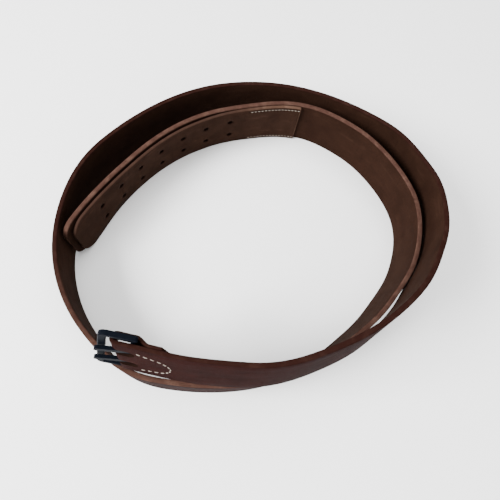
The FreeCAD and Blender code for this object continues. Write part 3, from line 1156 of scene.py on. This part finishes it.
@dataclass
class Billet:
    """Punched tongue, stitched inside the strap's tail end and free past the seam."""

    route: Route
    width: float = 43.4 * MM
    thickness: float = 2.2 * MM
    strap_width: float = STRAP_WIDTH
    strap_half: float = STRAP_THICKNESS / 2
    corner: float = 13 * MM
    corner_steps: int = 8
    heel_corner: float = 1.2 * MM
    heel_corner_steps: int = 3
    setback: float = 4 * MM
    seam_length: float = 42.8 * MM
    seam_margin: float = 3.0 * MM
    free_length: float = 166 * MM
    face_gap: float = 0.05 * MM
    lift: float = 1.4 * MM
    lift_over: float = 45 * MM
    hole_radius: float = 2 * MM
    hole_pitch: float = 20.6 * MM
    hole_count: int = 7
    punch_depth: float = 8 * MM
    punch_sides: int = 28
    row_gap: float = HOLE_ROW_GAP
    tip_to_hole: float = 29 * MM
    bend_over: float = 30 * MM
    cut_step: float = 4 * MM
    cut_from: float = 3 * MM
    edge_round: float = 0.6 * MM

    @property
    def low(self) -> float:
        """Height of the lower edge on the strap."""
        return (self.strap_width - self.width) / 2

    @property
    def tip(self) -> float:
        """Distance of the tip along the route."""
        return self.route.length - self.setback

    @property
    def flex(self) -> float:
        """Distance of the end of the seam, where the tongue leaves the strap."""
        return self.tip - self.free_length

    @property
    def heel(self) -> float:
        """Distance of the sewn end."""
        return self.flex - self.seam_length

    @property
    def seam_heights(self) -> tuple[float, float]:
        """Heights of the lower and the upper row of stitches."""
        return self.low + self.seam_margin, self.low + self.width - self.seam_margin

    def holes(self) -> PunchMarks:
        """Places of the punched holes."""
        middle = self.strap_width / 2
        return PunchMarks(self.tip - self.tip_to_hole, self.hole_pitch, self.hole_count,
                          (middle - self.row_gap / 2, middle + self.row_gap / 2),
                          self.hole_radius)

    def middle(self, along: np.ndarray) -> np.ndarray:
        """Offset of the billet's middle from the middle of the strap."""
        rise = smooth_step((along - self.flex) / self.lift_over)
        return self.strap_half + self.face_gap + self.lift * rise + self.thickness / 2

    def _punch(self) -> bpy.types.Object:
        """Makes the tools that punch every hole.

        Returns:
            All the tools as one piece.
        """
        start_fresh()
        bpy.ops.mesh.primitive_cylinder_add(
            vertices=self.punch_sides, radius=self.hole_radius, depth=self.punch_depth,
            rotation=(math.pi / 2, 0, 0))
        tool = bpy.context.object
        bpy.ops.object.transform_apply(location=True, rotation=True, scale=True)
        marks = self.holes()
        spots = [
            Matrix.Translation((marks.first - pair * marks.pitch, 0, height))
            for pair in range(marks.count) for height in marks.rows]
        return join_copies(tool, spots, "punch_tool")

    def build(self, sides: LeatherSides) -> bpy.types.Object:
        """Makes the billet, punches it and lays it inside the strap.

        Args:
            sides: Materials of its sides.

        Returns:
            The finished billet.
        """
        high = self.low + self.width
        tip = Blank.round_corners(self.corner, self.low, high, self.corner_steps)
        heel = Blank.round_corners(self.heel_corner, self.low, high, self.heel_corner_steps)
        corners = sorted({round(self.tip - inset, 7) for inset, _ in tip})
        count = round((self.tip - self.corner - self.heel) / self.cut_step)
        cuts = list(np.linspace(self.heel + self.cut_from, self.tip - self.corner, count))
        cuts += corners[1:-1]
        blank = Blank("billet_strap", self.heel, self.tip, self.low, high, self.thickness,
                      self.edge_round, heel, tip, cuts)
        piece = blank.build(sides)
        cut_away(piece, self._punch())
        note_flat(piece)
        flat = places_of(piece)
        flat[:, 1] += self.middle(flat[:, 0])
        put_places(piece, self.route.lay(flat))
        finish_surface(piece, LEATHER_SMOOTH)
        foot, along, inward, _ = self.route.axes(np.array([self.flex]))
        hinge = foot[0] + inward[0] * float(self.middle(np.array([self.flex]))[0])
        tuple(hinge + along[0] * self.bend_over)
        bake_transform(piece)
        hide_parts("billet_heel", "billet_tongue")
        return piece


# ------------------------------------------------------------------ stitching
@dataclass(frozen=True)
class StitchSpot:
    """Flat place, heading in the strap's face and side of one stitch."""

    along: float
    inward: float
    up: float
    heading: float
    facing: int

    def matrix(self) -> Matrix:
        """Places a stitch that is modelled along X with its face up Y.

        Returns:
            Its placement on the flat strap.
        """
        turn = Matrix.Rotation(-self.heading, 4, "Y")
        flip = Matrix.Rotation(math.pi if self.facing < 0 else 0.0, 4, "X")
        return Matrix.Translation((self.along, self.inward, self.up)) @ turn @ flip


@dataclass
class Stitching:
    """Rows of waxed stitches: the billet's two seam rows and the U of the folded end."""

    route: Route
    billet: Billet
    strap: MainStrap
    thread: float = 0.8 * MM
    seam_pitch: float = 2.7 * MM
    seam_stitch: float = 2.0 * MM
    seam_first: float = 1.6 * MM
    chape_pitch: float = 4.0 * MM
    chape_stitch: float = 2.8 * MM
    slant: float = 0.10
    chape_from: float = 9.4 * MM
    chape_turn_from: float = 20.5 * MM
    chape_nose: float = 27.5 * MM
    chape_open: tuple[float, float] = (7.4 * MM, 36.4 * MM)
    chape_closed: tuple[float, float] = (9.8 * MM, 31.0 * MM)
    sewn_from: float = 17.35 * MM
    nose_steps: int = 12
    heading_reach: float = 0.5 * MM
    sides: int = 8
    rings: tuple[float, ...] = (-0.36, -0.18, 0.0, 0.18, 0.36)
    end_power: int = 4
    end_taper: float = 0.62
    end_dive: float = 0.9
    sink: float = 0.12

    def _stitch(self, length: float) -> bpy.types.Object:
        """Models one stitch: a short thread whose ends dive into the leather.

        Args:
            length: Length of the stitch.

        Returns:
            The stitch, along X with its face up Y.
        """
        start_fresh()
        radius = self.thread / 2
        bpy.ops.mesh.primitive_cylinder_add(
            vertices=self.sides, radius=radius, depth=length, end_fill_type="NOTHING",
            rotation=(0, math.pi / 2, 0))
        piece = bpy.context.object
        bpy.ops.object.transform_apply(location=True, rotation=True, scale=True)
        bpy.ops.object.mode_set(mode="EDIT")
        for ring in self.rings:
            bpy.ops.mesh.select_all(action="SELECT")
            bpy.ops.mesh.bisect(plane_co=(ring * length, 0, 0), plane_no=(1, 0, 0))
        bpy.ops.mesh.select_all(action="DESELECT")
        bpy.ops.mesh.select_non_manifold()
        bpy.ops.mesh.edge_face_add()
        bpy.ops.object.mode_set(mode="OBJECT")
        places = places_of(piece)
        at_end = (np.abs(places[:, 0]) / (length / 2)) ** self.end_power
        girth = np.sqrt(np.clip(1 - self.end_taper * at_end, 0.0, 1.0))
        places[:, 1] *= girth
        places[:, 2] *= girth
        places[:, 1] -= radius * (self.end_dive * at_end + self.sink)
        put_places(piece, places)
        return piece

    def _make(self, name: str, length: float, spots: Sequence[StitchSpot],
              node: str) -> bpy.types.Object:
        """Copies a stitch to each spot and lays the row with the strap.

        Args:
            name: Name of the row.
            length: Length of a stitch.
            spots: Flat places.
            node: CAD node that the row stands for.

        Returns:
            The finished row.
        """
        pattern = self._stitch(length)
        piece = join_copies(pattern, [spot.matrix() for spot in spots], name)
        activate(piece)
        bpy.ops.object.mode_set(mode="EDIT")
        bpy.ops.mesh.select_all(action="SELECT")
        bpy.ops.mesh.normals_make_consistent(inside=False)
        bpy.ops.object.mode_set(mode="OBJECT")
        note_flat(piece)
        put_places(piece, self.route.lay(places_of(piece)))
        finish_surface(piece, THREAD_SMOOTH)
        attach(piece, Body.BELT.value)
        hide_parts(node)
        return piece

    def seam_row(self, height: float) -> list[StitchSpot]:
        """Spots of one seam row, on the billet's face and on the strap's outer face.

        Args:
            height: Height of the row on the strap.

        Returns:
            The spots, two for each stitch.
        """
        count = int(self.billet.seam_length // self.seam_pitch)
        inner = float(self.billet.middle(np.array([self.billet.heel]))[0]
                      + self.billet.thickness / 2)
        spots = []
        for index in range(count):
            along = self.billet.heel + self.seam_first + index * self.seam_pitch
            spots.append(StitchSpot(along, inner, height, self.slant, 1))
            spots.append(StitchSpot(along, -self.strap.thickness / 2, height, -self.slant, -1))
        return spots

    def chape_row(self) -> list[StitchSpot]:
        """Spots of the U seam, on the strap's outer face and on the folded leg.

        Returns:
            The spots, from the upper leg of the U round to the lower one.
        """
        fold = self.route.fold
        points = [(self.chape_from, self.chape_open[1])]
        middle = (self.chape_closed[0] + self.chape_closed[1]) / 2
        half = (self.chape_closed[1] - self.chape_closed[0]) / 2
        depth = self.chape_nose - self.chape_turn_from
        radius = (half * half + depth * depth) / (2 * depth)
        centre = self.chape_nose - radius
        sweep = math.atan2(half, self.chape_turn_from - centre)
        for step in range(2 * self.nose_steps + 1):
            turn = sweep * (1 - step / self.nose_steps)
            points.append((centre + radius * math.cos(turn), middle + radius * math.sin(turn)))
        points.append((self.chape_from, self.chape_open[0]))
        line = np.array(points)
        runs = np.concatenate([[0.0], np.cumsum(np.linalg.norm(np.diff(line, axis=0), axis=1))])
        count = round(runs[-1] / self.chape_pitch)
        spots = []
        for index in range(count):
            middle_run = (index + 0.5) * runs[-1] / count
            ends = []
            for shift in (-self.heading_reach, 0.0, self.heading_reach):
                run = middle_run + shift
                ends.append([float(np.interp(run, runs, line[:, axis])) for axis in (0, 1)])
            (x0, z0), (x, z), (x1, z1) = ends
            heading = math.atan2(z1 - z0, x1 - x0)
            grown = max(x - fold.straight, 0.0) / self.strap.skived_length
            half_here = (self.strap.skived
                         + (self.strap.thickness - self.strap.skived) * grown) / 2
            spots.append(StitchSpot(x - fold.straight, -half_here, z, heading, -1))
            if x > self.sewn_from:
                back = -(fold.straight + fold.arc + x)
                spots.append(StitchSpot(back, -fold.leg_half, z, -heading, -1))
        return spots

    def build(self, material: bpy.types.Material) -> list[bpy.types.Object]:
        """Makes every row of stitches.

        Args:
            material: Finish of the thread.

        Returns:
            The rows.
        """
        low, high = self.billet.seam_heights
        rows = [
            self._make("seam_upper", self.seam_stitch, self.seam_row(high),
                       "billet_thread_upper"),
            self._make("seam_lower", self.seam_stitch, self.seam_row(low),
                       "billet_thread_lower"),
            self._make("seam_chape", self.chape_stitch, self.chape_row(), "chape_thread")]
        for row in rows:
            row.data.materials.clear()
            row.data.materials.append(material)
        return rows


# ------------------------------------------------------------------ buckle
@dataclass
class Buckle:
    """Metal parts, whose shapes come with the frame and only get their finish here."""

    nodes: tuple[str, ...] = ("buckle_frame", "prong_upper", "prong_lower")

    def dress(self, metal: bpy.types.Material) -> list[bpy.types.Object]:
        """Gives each metal part its finish.

        Args:
            metal: Finish of the metal.

        Returns:
            The parts.
        """
        parts = [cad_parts[name] for name in self.nodes]
        for part in parts:
            part.data.materials.clear()
            part.data.materials.append(metal)
        return parts


# ------------------------------------------------------------------ studio
@dataclass(frozen=True)
class SoftLamp:
    """Square soft light that looks at the belt."""

    name: str
    place: Place
    size: float
    power: float

    def add(self, target: Place) -> None:
        """Adds the lamp, aimed at a target.

        Args:
            target: Place that it looks at.
        """
        start_fresh()
        bpy.ops.object.light_add(type="AREA", location=self.place)
        lamp = bpy.context.object
        lamp.name = self.name
        lamp.data.size = self.size
        lamp.data.energy = self.power
        aim = Vector(target) - Vector(self.place)
        lamp.rotation_euler = aim.to_track_quat("-Z", "Y").to_euler()


@dataclass
class Studio:
    """Plain pale floor, soft light and the camera."""

    floor_size: float = 6.0
    floor_tone: Colour = (0.95, 0.95, 0.95)
    floor_roughness: float = 0.9
    floor_gloss: float = 0.2
    floor_drop: float = 0.1 * MM
    sky_tone: Colour = (1.0, 1.0, 1.0)
    sky_power: float = 1.0
    target: Place = (0.0, 0.0, 0.03)
    lamps: tuple[SoftLamp, ...] = (
        SoftLamp("key", (-0.85, -0.45, 0.85), 0.6, 50.0),
        SoftLamp("fill", (0.8, -0.6, 0.7), 0.9, 5.0),
        SoftLamp("top", (0.1, 0.2, 1.3), 0.9, 18.0),
    )
    eye: Place = (0.005, -0.117, 0.310)
    right: Place = (0.975, 0.2081, 0.0744)
    down: Place = (0.221, -0.918, -0.328)
    lens: float = 30.96
    nearest: float = 1 * MM

    def build(self) -> None:
        """Makes the floor, sky, lamps and camera."""
        start_fresh()
        bpy.ops.mesh.primitive_plane_add(size=self.floor_size, location=(0, 0, -self.floor_drop))
        floor = bpy.context.object
        floor.name = "floor"
        board = Board("floor_paper")
        board.surface(Base_Color=self.floor_tone, Roughness=self.floor_roughness,
                      Specular_IOR_Level=self.floor_gloss)
        floor.data.materials.append(board.material)
        world = bpy.data.worlds.new("studio")
        world.use_nodes = True
        background = world.node_tree.nodes["Background"]
        background.inputs["Color"].default_value = (*self.sky_tone, 1.0)
        background.inputs["Strength"].default_value = self.sky_power
        bpy.context.scene.world = world
        for lamp in self.lamps:
            lamp.add(self.target)
        self._camera()

    def _camera(self) -> None:
        """Adds the camera."""
        start_fresh()
        bpy.ops.object.camera_add(location=self.eye)
        camera = bpy.context.object
        camera.data.lens = self.lens
        camera.data.clip_start = self.nearest
        right = Vector(self.right).normalized()
        up = -Vector(self.down)
        up = (up - right * up.dot(right)).normalized()
        back = right.cross(up)
        turn = Matrix((right, up, back)).transposed()
        camera.rotation_euler = turn.to_euler()
        bpy.context.scene.camera = camera


# ------------------------------------------------------------------ finishes of this belt
class Finishes:
    """Every finish of the belt, in linear colour."""

    def __init__(self, billet: Billet) -> None:
        """Makes the materials.

        Args:
            billet: Billet, for its seam and holes.
        """
        seam = SeamMark(billet.heel, billet.flex, billet.seam_heights)
        holes = billet.holes()
        # The deep colours of the faces give the random dark mottle and rims, and the painted shade
        # in pores, crease lines and pressed marks.
        outer = LeatherFinish(
            "strap_outer", tone=(0.0145, 0.0030, 0.0022), deep=(0.0068, 0.0016, 0.0012),
            worn=(0.036, 0.0100, 0.0076), wear=0.5, seam=seam)
        inner = LeatherFinish(
            "strap_inner", tone=(0.0205, 0.0096, 0.0062), deep=(0.0120, 0.0056, 0.0038),
            worn=(0.036, 0.0185, 0.0125), wear=0.4, roughness=0.7)
        billet_face = LeatherFinish(
            "billet_inner", tone=(0.0260, 0.0128, 0.0084), deep=(0.0135, 0.0066, 0.0045),
            worn=(0.050, 0.0260, 0.0180), wear=0.45, seam=seam, holes=holes)
        billet_back = LeatherFinish(
            "billet_outer", tone=(0.0170, 0.0056, 0.0043), deep=(0.0085, 0.0030, 0.0024),
            worn=(0.036, 0.0140, 0.0110), wear=0.4, holes=holes)
        # deep on the edges is also the colour of the painted shade between the fibre layers.
        edge = EdgeFinish(
            "strap_edge", tone=(0.044, 0.0215, 0.0160), deep=(0.022, 0.0100, 0.0075),
            worn=(0.088, 0.049, 0.036), dyed=(0.0135, 0.0050, 0.0038), bare_from=0.62,
            bare_over=0.12)
        billet_edge = EdgeFinish(
            "billet_edge", tone=(0.056, 0.030, 0.0205), deep=(0.026, 0.0130, 0.0090),
            worn=(0.110, 0.066, 0.046), dyed=(0.026, 0.0135, 0.0098),
            bare_from=billet.flex + 0.02, bare_over=-0.05)
        # The walls of the punched holes and the prong slots are kept very dark as painted shade
        # inside them.
        punched = EdgeFinish(
            "punched_wall_shade", tone=(0.010, 0.0048, 0.0034), deep=(0.006, 0.003, 0.0022),
            worn=(0.022, 0.011, 0.008), roughness=0.75, wear=0.3).build()
        self.strap = LeatherSides(outer.build(), inner.build(), edge.build(), punched)
        self.billet = LeatherSides(billet_back.build(), billet_face.build(),
                                   billet_edge.build(), punched)
        self.metal = MetalFinish("blackened_steel", tone=(0.0026, 0.0034, 0.0056),
                                 bare=(0.013, 0.017, 0.025)).build()
        # The thread's shade colour is painted shade in the grooves between its plies, and also its
        # real soil.
        self.thread = ThreadFinish("waxed_thread", tone=(0.25, 0.215, 0.178),
                                   shade=(0.085, 0.064, 0.049)).build()


def report(piece: bpy.types.Object) -> None:
    """Logs a piece's name and face count."""
    LOG.info("%s: %d faces, %d vertices", piece.name, len(piece.data.polygons),
             len(piece.data.vertices))


def main() -> None:
    """Builds the belt round the frame, then the studio."""
    logging.basicConfig(level=logging.INFO, format="%(name)s: %(message)s")
    route = Route(BUCKLE_TURN + OUTER_TURN + INNER_TURN, STRAP_WIDTH, STRAP_THICKNESS / 2, Fold())
    strap = MainStrap(route)
    billet = Billet(route)
    finishes = Finishes(billet)
    report(strap.build(finishes.strap))
    report(billet.build(finishes.billet))
    for row in Stitching(route, billet, strap).build(finishes.thread):
        report(row)
    for part in Buckle().dress(finishes.metal):
        report(part)
    Studio().build()


if __name__ == "__main__":
    main()
